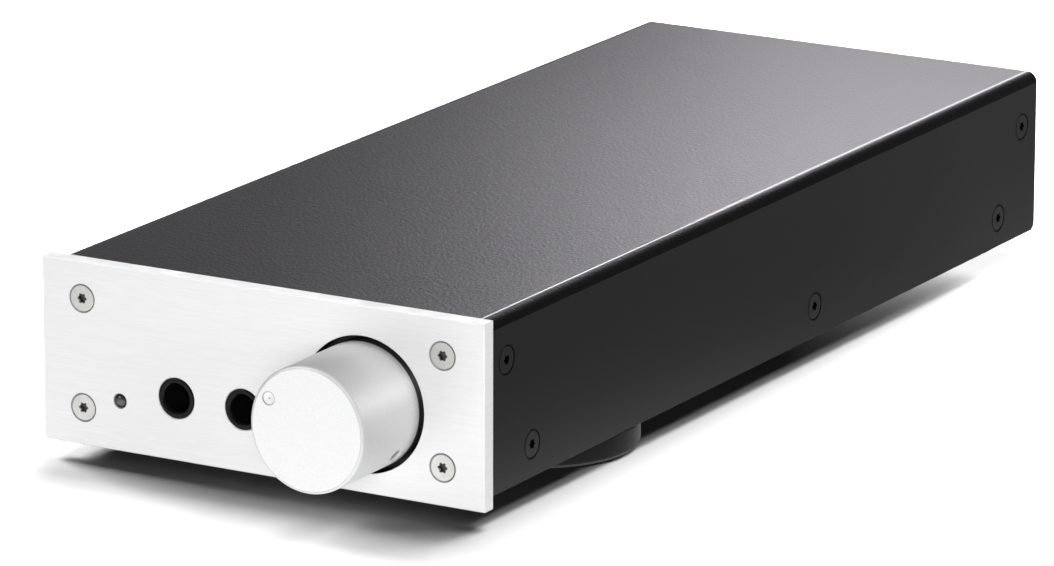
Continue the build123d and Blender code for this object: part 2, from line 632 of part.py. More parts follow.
# hollow knob: hub on the shaft, radial set-screw hole, round pointer mark in the face
KNOB_R = 13.8
KNOB_FACE, KNOB_BACK = FRONT_Y - 22.5, FRONT_Y + 2.4
HUB_BACK = FRONT_Y - 2.4
KNOB_BORE_R = SHAFT_R + 0.02
POINTER_R, POINTER_DX, POINTER_DZ = 1.45, -9.18, 5.62
GRUB_ANGLE = math.radians(126.0)     # clockwise from the top, seen from the front
grub_plane = Plane(origin=(KNOB_X, FRONT_Y - 5.4, KNOB_Z), x_dir=(0, 1, 0),
                   z_dir=(math.sin(GRUB_ANGLE), 0.0, math.cos(GRUB_ANGLE)))
with BuildPart() as volume_knob:
    with BuildSketch(at_y(KNOB_FACE)):
        circles(KNOB_R, KNOB_AT)
    extrude(amount=-(KNOB_BACK - KNOB_FACE))
    fillet(volume_knob.edges().group_by(Axis.Y)[0], 0.75)
    with BuildSketch(at_y(KNOB_BACK)):
        circles(11.6, KNOB_AT)
    extrude(amount=17.5, mode=Mode.SUBTRACT)
    with BuildSketch(at_y(HUB_BACK)):
        circles(7.0, KNOB_AT)
    extrude(amount=14.0)
    with BuildSketch(at_y(HUB_BACK)):
        circles(KNOB_BORE_R, KNOB_AT)
    extrude(amount=15.4, mode=Mode.SUBTRACT)
    with BuildSketch(grub_plane):
        Circle(1.5)
    extrude(amount=KNOB_R + 1.0, mode=Mode.SUBTRACT)
    pointer = y_planes([(KNOB_X + POINTER_DX, KNOB_Z + POINTER_DZ)], KNOB_FACE, 1)[0]
    with Locations(pointer):
        Cylinder(POINTER_R, 0.14, align=ON_BASE, mode=Mode.SUBTRACT)
    with Locations(pointer.offset(0.13)):
        Cone(POINTER_R - 0.1, 0.3, 0.3, align=ON_BASE, mode=Mode.SUBTRACT)
    with Locations(pointer.offset(0.42)):
        Cone(0.3, 0.05, 0.3, align=ON_BASE, mode=Mode.SUBTRACT)
save(volume_knob, "volume_knob")

GRUB_LEN = 4.6
with BuildPart() as knob_set_screw:
    cylinders(1.48, GRUB_LEN, grub_plane.offset(KNOB_BORE_R))
    with BuildSketch(grub_plane.offset(KNOB_BORE_R + GRUB_LEN)):
        RegularPolygon(0.85, 6)
    extrude(amount=-1.8, mode=Mode.SUBTRACT)
save(knob_set_screw, "knob_set_screw")

# ===========================================================================
# Headphone sockets
# ===========================================================================
JACK_LEN, JACK_W, JACK_H = 30.0, 16.0, 14.0
JACK_MID_Z = PCB_TOP + JACK_H / 2
JACK_FRONT_WALL, JACK_BACK_WALL, JACK_WALL = 3.0, 1.5, 1.5
BORE_FLARE = 0.35
SPRING_ROOT = SUB_BACK + JACK_LEN - 2.2
SPRING_W = 2.8
SPRINGS = [(JACK_Z + 2.2, 21.0), (JACK_Z - 2.2, 13.0)]     # height, reach towards the front


def spring_outline(x, tip):
    """Leaf spring seen from above: left root corner at x, front end at y = tip."""
    return [
        (x, SPRING_ROOT), (x + 0.5, SPRING_ROOT), (x - 0.4, tip + 4.0), (x - 1.5, tip + 2.0),
        (x - 0.9, tip), (x - 1.4, tip), (x - 2.1, tip + 2.0), (x - 0.9, tip + 4.2),
    ]


for side, jack_x in JACKS.items():
    with BuildPart() as jack:
        with BuildSketch(at_y(SUB_BACK)):
            rectangles(JACK_W, JACK_H, (jack_x, JACK_MID_Z))
        extrude(amount=-JACK_LEN)
        fillet(jack.edges().filter_by(Axis.Y).group_by(Axis.Z)[-1], 1.2)
        with BuildSketch(at_y(SUB_BACK + JACK_FRONT_WALL)):
            rectangles(JACK_W - 2 * JACK_WALL, JACK_H - 2 * JACK_WALL, (jack_x, JACK_MID_Z))
        extrude(amount=-(JACK_LEN - JACK_FRONT_WALL - JACK_BACK_WALL), mode=Mode.SUBTRACT)
        with BuildSketch(at_y(SUB_BACK)):
            circles(JACK_NOSE_R, (jack_x, JACK_Z))
        extrude(amount=SUB_BACK - FRONT_Y)
        with BuildSketch(at_y(FRONT_Y)):
            circles(JACK_BORE_R, (jack_x, JACK_Z))
        extrude(amount=-(SUB_BACK + JACK_FRONT_WALL - FRONT_Y), mode=Mode.SUBTRACT)
        with Locations(*y_planes([(jack_x, JACK_Z)], FRONT_Y, 1)):
            Cone(JACK_BORE_R + BORE_FLARE, JACK_BORE_R, BORE_FLARE, align=ON_BASE,
                 mode=Mode.SUBTRACT)
        nose_circles = jack.edges().filter_by(GeomType.CIRCLE).group_by(Axis.Y)[0]
        fillet(nose_circles.sort_by(SortBy.RADIUS)[-1], 0.35)
    save(jack, "headphone_socket_" + side)

    # tip and ring leaf springs, rooted at the back of the socket
    with BuildPart() as contacts:
        for spring_z, reach in SPRINGS:
            with BuildSketch(Plane.XY.offset(spring_z - SPRING_W / 2)):
                with BuildLine():
                    Polyline(*spring_outline(jack_x + 5.7, SPRING_ROOT - reach), close=True)
                make_face()
            extrude(amount=SPRING_W)
        with Locations((jack_x + 5.95, SPRING_ROOT - 1.0, JACK_Z)):
            Box(0.5, 2.0, 7.2)
    save(contacts, "socket_springs_" + side)

# indicator lamp: flanged lens with a dome, pushed in from behind
LED_BACK = PANEL_BACK + 1.0
with BuildPart() as indicator_lamp:
    with BuildSketch(at_y(LED_BACK)):
        circles(1.9, LED_AT)
    extrude(amount=0.98)
    with BuildSketch(at_y(PANEL_BACK + 0.5)):
        circles(LED_R, LED_AT)
    extrude(amount=PANEL_T + 0.5 + 0.1)
    fillet(indicator_lamp.edges().filter_by(GeomType.CIRCLE).group_by(Axis.Y)[0], 1.1)
save(indicator_lamp, "indicator_lamp")

# two square leads that run back, then down to the board
LEAD_W, LEAD_LEN = 0.5, 7.0
LEADS_X = [LED_X - LEG_PITCH / 2, LED_X + LEG_PITCH / 2]
with BuildPart() as lamp_leads:
    with Locations(*[(x, LED_BACK + LEAD_LEN / 2, LED_Z) for x in LEADS_X]):
        Box(LEAD_W, LEAD_LEN, LEAD_W)
    boxes(LEAD_W, LEAD_W, LED_Z - PCB_TOP + LEAD_W / 2,
          *[(x, LED_BACK + LEAD_LEN - LEAD_W / 2, PCB_TOP) for x in LEADS_X])
save(lamp_leads, "lamp_leads")

# ===========================================================================
# Rear connectors
# ===========================================================================
RCA_FLANGE_T, RCA_BARREL = 1.8, 7.2
RCA_BORE_R = 3.3
RCA_PIN_R = 1.8
RCA_PIN_END, RCA_PIN_LEN = REAR_Y + 7.8, 18.5
with BuildPart() as rca_shells:
    with BuildSketch(at_y(REAR_Y)):
        circles(5.6, *RCA_AT)
    extrude(amount=-RCA_FLANGE_T)
    with BuildSketch(at_y(REAR_Y + RCA_FLANGE_T)):
        circles(4.15, *RCA_AT)
    extrude(amount=-RCA_BARREL)
    chamfer(rca_shells.edges().filter_by(GeomType.CIRCLE).group_by(Axis.Y)[-1], 0.3)
    with BuildSketch(at_y(REAR_Y)):
        circles(RCA_THREAD_R, *RCA_AT)
    extrude(amount=8.5)
    with BuildSketch(at_y(REAR_Y + RCA_FLANGE_T + RCA_BARREL)):
        circles(RCA_BORE_R, *RCA_AT)
    extrude(amount=17.5, mode=Mode.SUBTRACT)
save(rca_shells, "rca_shells")

with BuildPart() as rca_insulators:
    with BuildSketch(at_y(REAR_Y + 8.2)):
        rings(RCA_BORE_R, RCA_PIN_R, *RCA_AT)
    extrude(amount=17.0)
save(rca_insulators, "rca_insulators")

with BuildPart() as rca_contacts:
    with BuildSketch(at_y(RCA_PIN_END)):
        circles(RCA_PIN_R, *RCA_AT)
    extrude(amount=RCA_PIN_LEN)
    with BuildSketch(at_y(RCA_PIN_END)):
        circles(1.65, *RCA_AT)
    extrude(amount=13.0, mode=Mode.SUBTRACT)
save(rca_contacts, "rca_contacts")

with BuildPart() as rca_nuts:
    with BuildSketch(at_y(REAR_INNER)):
        hex_rings(6.3, RCA_THREAD_R + 0.02, *RCA_AT)
    extrude(amount=2.2)
save(rca_nuts, "rca_nuts")

# mains inlet: flange outside, body inside, plug cavity above the fuse drawer
CAVITY_DEPTH = 17.0
INLET_DEPTH = 30.5
DRAWER_W, DRAWER_H, DRAWER_LEN = 24.0, 7.0, 26.0
DRAWER_FIT = 0.12
PIN_W, PIN_H, PIN_FIT = 2.0, 4.0, 0.04
PIN_ROW_Z = CAVITY_Z - 1.6
EARTH_PIN_Z = CAVITY_Z + 2.4
PINS_AT = [(INLET_X - 7.0, PIN_ROW_Z), (INLET_X + 7.0, PIN_ROW_Z), (INLET_X, EARTH_PIN_Z)]
# dx, dz from the cavity's centre
CAVITY_OUTLINE = [(-12.2, -8.2), (12.2, -8.2), (12.2, 3.6), (7.4, 8.2), (-7.4, 8.2), (-12.2, 3.6)]
with BuildPart() as mains_inlet:
    with BuildSketch(at_y(REAR_Y)) as inlet_flange:
        rectangles(50.0, 32.6, INLET_AT)
        chamfer(inlet_flange.vertices(), 7.0)
    extrude(amount=-INLET_FLANGE_T)
    with BuildSketch(at_y(REAR_Y)):
        rectangles(27.4, 29.8, INLET_AT)
    extrude(amount=INLET_DEPTH)
    with BuildSketch(at_y(INLET_FACE)):
        with BuildLine():
            Polyline(*[(INLET_X + dx, CAVITY_Z + dz) for dx, dz in CAVITY_OUTLINE], close=True)
        make_face()
    extrude(amount=CAVITY_DEPTH, mode=Mode.SUBTRACT)
    with BuildSketch(at_y(INLET_FACE)):
        rectangles(DRAWER_W + DRAWER_FIT, DRAWER_H + DRAWER_FIT, (INLET_X, DRAWER_Z))
    extrude(amount=DRAWER_LEN + 0.4, mode=Mode.SUBTRACT)
    with BuildSketch(at_y(INLET_FACE - CAVITY_DEPTH)):
        rectangles(PIN_W + PIN_FIT, PIN_H + PIN_FIT, *PINS_AT)
    extrude(amount=INLET_DEPTH - CAVITY_DEPTH + INLET_FLANGE_T, mode=Mode.SUBTRACT)
    countersinks(3.5, y_planes(INLET_SCREWS, INLET_FACE, 1))
save(mains_inlet, "mains_inlet")

PIN_TIP = INLET_FACE - 1.2
PIN_INNER = REAR_Y - INLET_DEPTH - 6.0        # inner ends, where the wires start
with BuildPart() as inlet_pins:
    with BuildSketch(at_y(PIN_TIP)):
        rectangles(PIN_W, PIN_H, *PINS_AT)
    extrude(amount=PIN_TIP - PIN_INNER)
    chamfer(inlet_pins.edges().group_by(Axis.Y)[-1], 0.5)
save(inlet_pins, "inlet_pins")

# fuse drawer: tray with a finger lip; the fuse lies across it
FUSE_Y, FUSE_Z = INLET_FACE - 16.5, DRAWER_Z + 0.2
with BuildPart() as fuse_drawer:
    with BuildSketch(at_y(INLET_FACE)):
        rectangles(DRAWER_W, DRAWER_H, (INLET_X, DRAWER_Z))
    extrude(amount=DRAWER_LEN)
    with BuildSketch(at_y(INLET_FACE)):
        rectangles(9.0, 1.6, (INLET_X, DRAWER_Z - 2.2))
    extrude(amount=-0.9)
    with BuildSketch(Plane.XY.offset(DRAWER_Z + DRAWER_H / 2)):
        rectangles(21.2, 12.0, (INLET_X, FUSE_Y))
    extrude(amount=-5.9, mode=Mode.SUBTRACT)
save(fuse_drawer, "fuse_drawer")

# two end caps and the tube between them
with BuildPart() as fuse:
    for sign in (-1, 1):
        with BuildSketch(at_x(INLET_X + sign * 10.0)):
            circles(2.55, (FUSE_Y, FUSE_Z))
        extrude(amount=-sign * 5.0)
    with BuildSketch(at_x(INLET_X - 6.0)):
        circles(2.3, (FUSE_Y, FUSE_Z))
    extrude(amount=12.0)
save(fuse, "fuse")

# gain switch block and its two levers, both in the lower position
LEVER_W, LEVER_TRAVEL, LEVER_FIT = 1.2, 1.2, 0.12
SWITCH_FACE = REAR_Y - 0.2
LEVERS_X = [SWITCH_X - 1.27, SWITCH_X + 1.27]
with BuildPart() as gain_switch:
    with BuildSketch(at_y(SWITCH_FACE)):
        rectangles(5.2, 6.0, SWITCH_AT)
    extrude(amount=8.0)
    with BuildSketch(at_y(SWITCH_FACE)):
        rectangles(LEVER_W + LEVER_FIT, LEVER_W + LEVER_TRAVEL + LEVER_FIT,
                   *[(x, SWITCH_Z) for x in LEVERS_X])
    extrude(amount=3.0, mode=Mode.SUBTRACT)
save(gain_switch, "gain_switch")

for number, lever_x in enumerate(LEVERS_X, start=1):
    with BuildPart() as lever:
        with BuildSketch(at_y(SWITCH_FACE + 0.8)):
            rectangles(LEVER_W, LEVER_W, (lever_x, SWITCH_Z - LEVER_TRAVEL / 2))
        extrude(amount=3.6)
        chamfer(lever.edges().group_by(Axis.Y)[-1], 0.25)
    save(lever, f"gain_lever_{number}")

# ===========================================================================
# Wiring: routes are spline points (x, y, z)
# ===========================================================================
GAP = 0.05                           # left between a wire's end and what it meets
PIN_TAIL = PIN_INNER - GAP
DOWN = (0, 0, -1)

# inlet pins to transformer
save_wires("mains_wires", 0.95, [
    [(INLET_X - 7.0, PIN_TAIL, PIN_ROW_Z), (INLET_X - 7.0, 88.0, PIN_ROW_Z),
     (-20.0, 66.0, 25.0), (-12.0, 54.85, 22.0)],
    [(INLET_X + 7.0, PIN_TAIL, PIN_ROW_Z), (INLET_X + 7.0, 88.0, PIN_ROW_Z),
     (-10.0, 67.0, 25.0), (-5.0, 56.45, 22.0)],
], (0.2, -1, 0))

# transformer's front side to main board
save_wires("secondary_wires", 0.8, [
    [(x, TOR_Y - math.sqrt(TOR_R ** 2 - (x - TOR_X) ** 2) - 0.25, 21.0),
     (x, -26.5, 20.2), (x, -31.2, PCB_TOP + GAP)]
    for x in (-14.0, -10.0, -6.0, -2.0)
], DOWN)

# input board to main board, past the right of the transformer
save_wires("signal_cable", 1.5, [
    [(32.0, 99.7, 12.6), (43.2, 80.0, 13.0), (43.6, 20.0, 12.6), (42.0, -22.0, 15.4),
     (40.0, -30.8, PCB_TOP + 0.06)],
], DOWN)

# RCA contacts to input board
save_wires("input_wires", 0.7, [
    [(x, RCA_PIN_END - RCA_PIN_LEN - GAP, z), (x, 121.5, z - 2.0), (x, 119.0, PCB_TOP + GAP)]
    for x, z in RCA_AT
], DOWN)

# earth lead: ring lug on the floor and its wire to the inlet's earth pin
LUG_T = 0.9
EARTH_START = (EARTH_X, EARTH_Y + 8.0, TRAY_TOP + 1.2)
with BuildPart() as earth_lead:
    with BuildSketch(Plane.XY.offset(TRAY_TOP)):
        circles(4.2, EARTH_AT)
        rectangles(3.4, 8.0, (EARTH_X, EARTH_Y + 6.5))
        with Locations(EARTH_AT):
            Circle(2.1, mode=Mode.SUBTRACT)
    extrude(amount=LUG_T)
    with BuildLine() as earth_route:
        Spline(EARTH_START, (-41.0, 90.0, 17.0), (-37.0, 91.5, 32.0), (-28.0, 94.5, 33.5),
               (INLET_X, PIN_TAIL, EARTH_PIN_Z), tangents=[(0, 1, 0.1), (0, 1, 0)])
    with BuildSketch(Plane(origin=EARTH_START, z_dir=(0, 1, 0.1))):
        Circle(1.1)
    sweep(path=earth_route.line)
save(earth_lead, "earth_lead")

EARTH_HEAD_H = 2.2
with BuildPart() as earth_screw:
    cylinders(3.6, EARTH_HEAD_H, (*EARTH_AT, TRAY_TOP + LUG_T))
    cylinders(EARTH_SCREW_R, TRAY_T + LUG_T, (*EARTH_AT, COVER_BOT))
    with BuildSketch(Plane.XY.offset(TRAY_TOP + LUG_T + EARTH_HEAD_H)):
        with Locations(EARTH_AT):
            cross(4.4, 0.9)
    extrude(amount=-1.4, mode=Mode.SUBTRACT)
save(earth_screw, "earth_screw")
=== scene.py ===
# A small headphone amplifier: folded black case, brushed aluminium front panel, volume knob,
# two headphone sockets, and its boards and transformer inside.
# Metres, +Z up. It stands on the floor at z = 0, with its front towards -Y and +X to the
# right as seen from the front. The meshes come from the CAD pieces; this script adds the
# materials, floor, lights and camera.
import bpy
import bmesh
import math
from mathutils import Vector, Matrix


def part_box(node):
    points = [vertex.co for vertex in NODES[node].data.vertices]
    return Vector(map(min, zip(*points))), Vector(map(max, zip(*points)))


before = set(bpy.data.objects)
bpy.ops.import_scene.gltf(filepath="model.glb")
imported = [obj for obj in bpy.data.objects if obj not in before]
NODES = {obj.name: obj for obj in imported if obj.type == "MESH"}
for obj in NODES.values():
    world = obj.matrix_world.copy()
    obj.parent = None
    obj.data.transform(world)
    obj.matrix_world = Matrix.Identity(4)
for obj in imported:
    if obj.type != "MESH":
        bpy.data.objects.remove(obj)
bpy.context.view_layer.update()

scene = bpy.context.scene

X_AXIS, Y_AXIS = 0, 1
HEAD_REACH = 0.0075  # vertices closer than this, seen end on, belong to one fastener


# ---------------------------------------------------------------------------
# places measured on the pieces
# ---------------------------------------------------------------------------
def head_centres(name, axis):
    """Centres of the separate fasteners in one node, looking along one axis."""
    groups = []
    for vertex in NODES[name].data.vertices:
        point = [vertex.co[i] for i in range(3) if i != axis]
        for group in groups:
            if math.dist(point, group[0]) < HEAD_REACH:
                group.append(point)
                break
        else:
            groups.append([point])
    return [tuple((min(values) + max(values)) / 2 for values in zip(*group))
            for group in groups]


def box_centre(name):
    lo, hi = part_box(name)
    return (lo + hi) / 2


def front_centre(name):
    """(x, z) of a piece's centre, as seen from the front."""
    centre = box_centre(name)
    return centre.x, centre.z


PANEL_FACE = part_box("front_panel")[0].y
SIDE_HEADS = head_centres("cover_side_screws", X_AXIS)
FRONT_HEADS = head_centres("front_panel_screws", Y_AXIS)


# ---------------------------------------------------------------------------
# node helpers
# ---------------------------------------------------------------------------
def grey(value):
    return (value, value, value)


def toned(tone, factor, lift=0.0):
    """A colour scaled and lifted, held at 1."""
    return tuple(min(1.0, c * factor + lift) for c in tone)


class Graph:
    """An emptied node tree with short ways to add to it."""

    def __init__(self, tree):
        self.tree = tree
        tree.nodes.clear()

    def feed(self, socket, value):
        """Link an output to an input, or set the input's value."""
        if isinstance(value, bpy.types.NodeSocket):
            self.tree.links.new(value, socket)
        elif socket.type == "RGBA":
            socket.default_value = (*value, 1.0)
        else:
            socket.default_value = value

    def node(self, kind, inputs={}, **settings):
        node = self.tree.nodes.new(kind)
        for key, value in settings.items():
            setattr(node, key, value)
        for key, value in inputs.items():
            self.feed(node.inputs[key], value)
        return node

    def mix_shader(self, factor, first, second):
        return self.node("ShaderNodeMixShader", {0: factor, 1: first, 2: second}).outputs[0]


class Mat(Graph):
    """Builds one procedural material; `co` is the object coordinate."""

    INPUTS = {"color": "Base Color", "metal": "Metallic", "rough": "Roughness", "ior": "IOR",
              "spec": "Specular IOR Level", "aniso": "Anisotropic", "tangent": "Tangent",
              "coat": "Coat Weight", "coat_rough": "Coat Roughness",
              "trans": "Transmission Weight", "normal": "Normal"}

    def __init__(self, name):
        self.material = bpy.data.materials.new(name)
        self.material.use_nodes = True
        super().__init__(self.material.node_tree)
        self.out = self.node("ShaderNodeOutputMaterial")
        self.surface = self.node("ShaderNodeBsdfPrincipled")
        self.feed(self.out.inputs[0], self.surface.outputs[0])
        self.co = self.node("ShaderNodeTexCoord").outputs["Object"]

    def finish(self, **values):
        """Feed the surface shader and return the material."""
        for key, value in values.items():
            self.feed(self.surface.inputs[self.INPUTS[key]], value)
        return self.material

    def calc(self, operation, *values):
        return self.node("ShaderNodeMath", dict(enumerate(values)),
                         operation=operation).outputs[0]

    def add(self, a, b):
        return self.calc("ADD", a, b)

    def sub(self, a, b):
        return self.calc("SUBTRACT", a, b)

    def mul(self, a, b):
        return self.calc("MULTIPLY", a, b)

    def peak(self, a, b):
        return self.calc("MAXIMUM", a, b)

    def size(self, a):
        return self.calc("ABSOLUTE", a)

    def remap(self, value, over=(0.3, 0.7), to=(0.0, 1.0), smooth=False):
        """Carry the range `over` to the range `to`, clamped."""
        return self.node("ShaderNodeMapRange", dict(enumerate((value, *over, *to))), clamp=True,
                         interpolation_type="SMOOTHSTEP" if smooth else "LINEAR").outputs[0]

    def fade(self, value, over, smooth=False):
        """1 below the range, falling to 0 above it."""
        return self.remap(value, over, (1.0, 0.0), smooth)

    def mix(self, factor, first, second):
        return self.node("ShaderNodeMix", {0: factor, 6: first, 7: second},
                         data_type="RGBA").outputs[2]

    def tint(self, base, color, mask, amount):
        """Lay a colour over the base where the mask is 1, at part strength."""
        return self.mix(self.mul(mask, amount), base, color)

    def noise(self, scale, detail=2.0, rough=0.5, vector=None):
        return self.node("ShaderNodeTexNoise", {
            "Vector": vector or self.co, "Scale": scale, "Detail": detail,
            "Roughness": rough, "Distortion": 0.0}).outputs["Fac"]

    def streaks(self, along, across, detail, rough):
        """Noise stretched into lines lying level; `across` is its scale up Z."""
        stretched = self.node("ShaderNodeMapping",
                              {"Vector": self.co, "Scale": (along, along, across)})
        return self.noise(1.0, detail, rough, stretched.outputs[0])

    def bump(self, height, strength, distance, normal=None):
        inputs = {"Strength": strength, "Distance": distance, "Height": height}
        if normal is not None:
            inputs["Normal"] = normal
        return self.node("ShaderNodeBump", inputs).outputs[0]

    def edges(self, radius):
        """(softened normal, edge mask) for slightly broken edges."""
        bevel = self.node("ShaderNodeBevel", {"Radius": radius}, samples=4).outputs[0]
        true_normal = self.node("ShaderNodeNewGeometry").outputs["Normal"]
        agree = self.node("ShaderNodeVectorMath", {0: bevel, 1: true_normal},
                          operation="DOT_PRODUCT")
        return bevel, self.fade(agree.outputs["Value"], over=(0.75, 0.985))

    def parts(self, vector):
        return self.node("ShaderNodeSeparateXYZ", {0: vector}).outputs

    def facing(self, axis):
        """How squarely the surface faces along an axis, either way."""
        return self.size(self.parts(self.node("ShaderNodeNewGeometry").outputs["Normal"])[axis])

    def radius(self, x, z, centre_x, centre_z):
        """Distance from a line along Y."""
        dx = self.sub(x, centre_x)
        dz = self.sub(z, centre_z)
        return self.calc("SQRT", self.add(self.mul(dx, dx), self.mul(dz, dz)))

    def near(self, axis, centres):
        """Distance, across one axis, to the closest of a few centres."""
        keep = [1.0, 1.0, 1.0]
        keep[axis] = 0.0
        flat = self.node("ShaderNodeVectorMath", {0: self.co, 1: keep}, operation="MULTIPLY")
        best = None
        for pair in centres:
            centre = list(pair)
            centre.insert(axis, 0.0)
            distance = self.node("ShaderNodeVectorMath", {0: flat.outputs[0], 1: centre},
                                 operation="DISTANCE").outputs["Value"]
            best = distance if best is None else self.calc("MINIMUM", best, distance)
        return best

    def ring(self, distance, at, half, soft):
        """1 on a ring of radius `at`, fading to 0 on both sides."""
        return self.fade(self.size(self.sub(distance, at)), over=(half, half + soft))


# ---------------------------------------------------------------------------
# materials
# ---------------------------------------------------------------------------
def powder_layers(m, tone):
    """(colour, roughness, bump height, softened normal) shared by both powder coats."""
    normal, edge = m.edges(radius=0.00025)
    fine = m.noise(scale=2300.0, detail=3.0, rough=0.6)
    peel = m.node("ShaderNodeTexVoronoi", {"Vector": m.co, "Scale": 1250.0},
                  feature="SMOOTH_F1").outputs["Distance"]
    cloud = m.noise(scale=14.0, detail=3.0)
    height = m.add(m.mul(fine, 0.6), m.mul(peel, 0.5))
    speck = m.remap(m.noise(scale=5200.0, detail=1.0), over=(0.62, 0.78))
    base = m.mix(m.remap(cloud), tone, toned(tone, 1.18))
    base = m.tint(base, (0.045, 0.042, 0.047), speck, amount=0.30)
    base = m.tint(base, (0.06, 0.057, 0.06), edge, amount=0.20)
    rough = m.add(m.remap(fine, to=(0.31, 0.40)), m.mul(cloud, 0.03))
    return base, rough, height, normal


def inner_coat(name):
    m = Mat(name)
    base, rough, height, normal = powder_layers(m, tone=(0.012, 0.012, 0.013))
    return m.finish(color=base, rough=rough, spec=0.35,
                    normal=m.bump(height, strength=0.55, distance=0.00010, normal=normal))


def cover_coat(name):
    """The coat is glossy where each bend starts, with painted shade round it, and flatter down
    the sides.
    """
    m = Mat(name)
    base, rough, height, normal = powder_layers(m, tone=(0.0150, 0.0140, 0.0154))
    sideways = m.size(m.parts(m.node("ShaderNodeTexCoord").outputs["Normal"])[0])
    outward = m.size(m.parts(m.co)[0])
    crest = m.mul(m.remap(outward, over=(0.05035, 0.05070)),
                  m.fade(sideways, over=(0.06, 0.16)))
    bend_shade = m.mul(m.remap(sideways, over=(0.08, 0.22)),
                 m.fade(sideways, over=(0.9985, 0.9998)))
    flat = m.remap(sideways, over=(0.90, 0.99))
    # painted highlight: a paler patch towards the rear of each side, centred on this (y, z)
    painted_sheen = m.near(X_AXIS, [(0.110, 0.027)])
    base = m.tint(base, (0.024, 0.024, 0.025),
                  m.mul(m.fade(painted_sheen, over=(0.004, 0.032), smooth=True), flat), amount=0.35)
    # painted shade over the rest of each bend, below the glossy crest
    base = m.tint(base, (0.0015, 0.0015, 0.0016), bend_shade, amount=0.72)
    # painted shade in the gap round each side screw
    gap_shade = m.mul(m.fade(m.near(X_AXIS, SIDE_HEADS), over=(0.0032, 0.00345)), flat)
    base = m.tint(base, grey(0.001), gap_shade, amount=0.9)
    shine = m.sub(1.0, m.peak(m.mul(bend_shade, 0.80), m.mul(gap_shade, 0.9)))
    # the grain weakens towards the rear and on the flat sides
    height = m.mul(m.mul(height, m.remap(m.parts(m.co)[1], over=(-0.06, 0.10), to=(1.0, 0.5))),
                   m.remap(flat, over=(0.0, 1.0), to=(1.0, 0.16)))
    return m.finish(color=base, rough=rough, spec=m.mul(shine, 0.30),
                    coat=m.mul(crest, 0.9), coat_rough=0.10,
                    normal=m.bump(height, strength=0.85, distance=0.00013, normal=normal))


def brushed_aluminium(name):
    """Brush lines run level; painted shade darkens the walls of the holes."""
    m = Mat(name)
    normal, edge = m.edges(radius=0.00018)
    line = m.streaks(along=130.0, across=7500.0, detail=3.0, rough=0.65)
    broad = m.streaks(along=45.0, across=1500.0, detail=2.0, rough=0.5)
    fleck = m.streaks(along=500.0, across=9000.0, detail=1.0, rough=0.5)
    tone = m.add(m.mul(line, 0.8), m.mul(broad, 0.2))
    base = m.mix(m.remap(tone, over=(0.32, 0.68)), (0.81, 0.81, 0.815), (0.90, 0.90, 0.902))
    base = m.tint(base, (0.66, 0.66, 0.67), m.remap(fleck, over=(0.62, 0.78)), amount=0.20)
    base = m.tint(base, grey(0.97), edge, amount=0.4)
    milled = m.fade(m.facing(Y_AXIS), over=(0.93, 0.99))
    # painted shade on the hole walls: the knob's, then the screws' and the lamp's, each by
    # distance from its axis
    knob = m.near(Y_AXIS, [front_centre("volume_knob")])
    wall_shade = m.mul(m.fade(knob, over=(0.01493, 0.01500)), milled)
    screws = m.near(Y_AXIS, FRONT_HEADS)
    wall_shade = m.peak(wall_shade, m.mul(m.fade(screws, over=(0.00318, 0.0033)), 0.70))
    lamp = m.near(Y_AXIS, [front_centre("indicator_lamp")])
    wall_shade = m.peak(wall_shade, m.mul(m.fade(lamp, over=(0.00160, 0.00178)), 0.8))
    base = m.mix(wall_shade, base, grey(0.008))
    metal = m.sub(0.45, m.mul(milled, 0.25))
    return m.finish(color=base, metal=m.mul(metal, m.sub(1.0, wall_shade)),
                    rough=m.remap(line, to=(0.36, 0.48)), aniso=0.5,
                    tangent=m.node("ShaderNodeCombineXYZ", {2: 1.0}).outputs[0],
                    spec=m.mul(m.sub(1.0, wall_shade), 0.5),
                    normal=m.bump(line, strength=0.14, distance=0.00003, normal=normal))


def blasted_aluminium(name):
    m = Mat(name)
    normal, edge = m.edges(radius=0.0002)
    grain = m.noise(scale=5200.0, rough=0.6)
    soft = m.noise(scale=60.0)
    base = m.mix(m.remap(grain, over=(0.35, 0.65)), (0.80, 0.80, 0.805), grey(0.92))
    base = m.tint(base, grey(0.97), edge, amount=0.5)
    rough = m.add(m.remap(grain, to=(0.38, 0.48)), m.mul(soft, 0.04))
    centre = box_centre("volume_knob")
    face_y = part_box("volume_knob")[0].y
    x, y, z = m.parts(m.co)
    radius = m.radius(x, z, centre.x, centre.z)
    # painted shade inside the knob and behind the panel's face
    inside_shade = m.mul(m.fade(radius, over=(0.0128, 0.01372)),
                   m.remap(y, over=(face_y + 0.0015, face_y + 0.003)))
    inside_shade = m.peak(inside_shade, m.remap(y, over=(PANEL_FACE - 0.0001, PANEL_FACE + 0.00015)))
    base = m.tint(base, grey(0.01), inside_shade, amount=0.96)
    # the pointer mark, up and to the left of centre, is a turned ring with a centre prick;
    # painted shade outlines both
    mark = m.near(Y_AXIS, [(centre.x - 0.00918, centre.z + 0.00562)])
    face = m.fade(y, over=(face_y + 0.0004, face_y + 0.0009))
    line = m.mul(m.peak(m.ring(mark, at=0.00142, half=0.00007, soft=0.00010),
                        m.mul(m.fade(mark, over=(0.00018, 0.00036)), 0.8)), face)
    base = m.tint(base, grey(0.16), line, amount=0.62)
    # the turned rim shows as a fine line of painted shade just inside the edge of the face
    rim_shade = m.mul(m.ring(radius, at=0.01325, half=0.00006, soft=0.00014), face)
    base = m.tint(base, grey(0.20), rim_shade, amount=0.34)
    return m.finish(color=base, metal=0.35, rough=rough,
                    normal=m.bump(grain, strength=0.30, distance=0.00005, normal=normal))


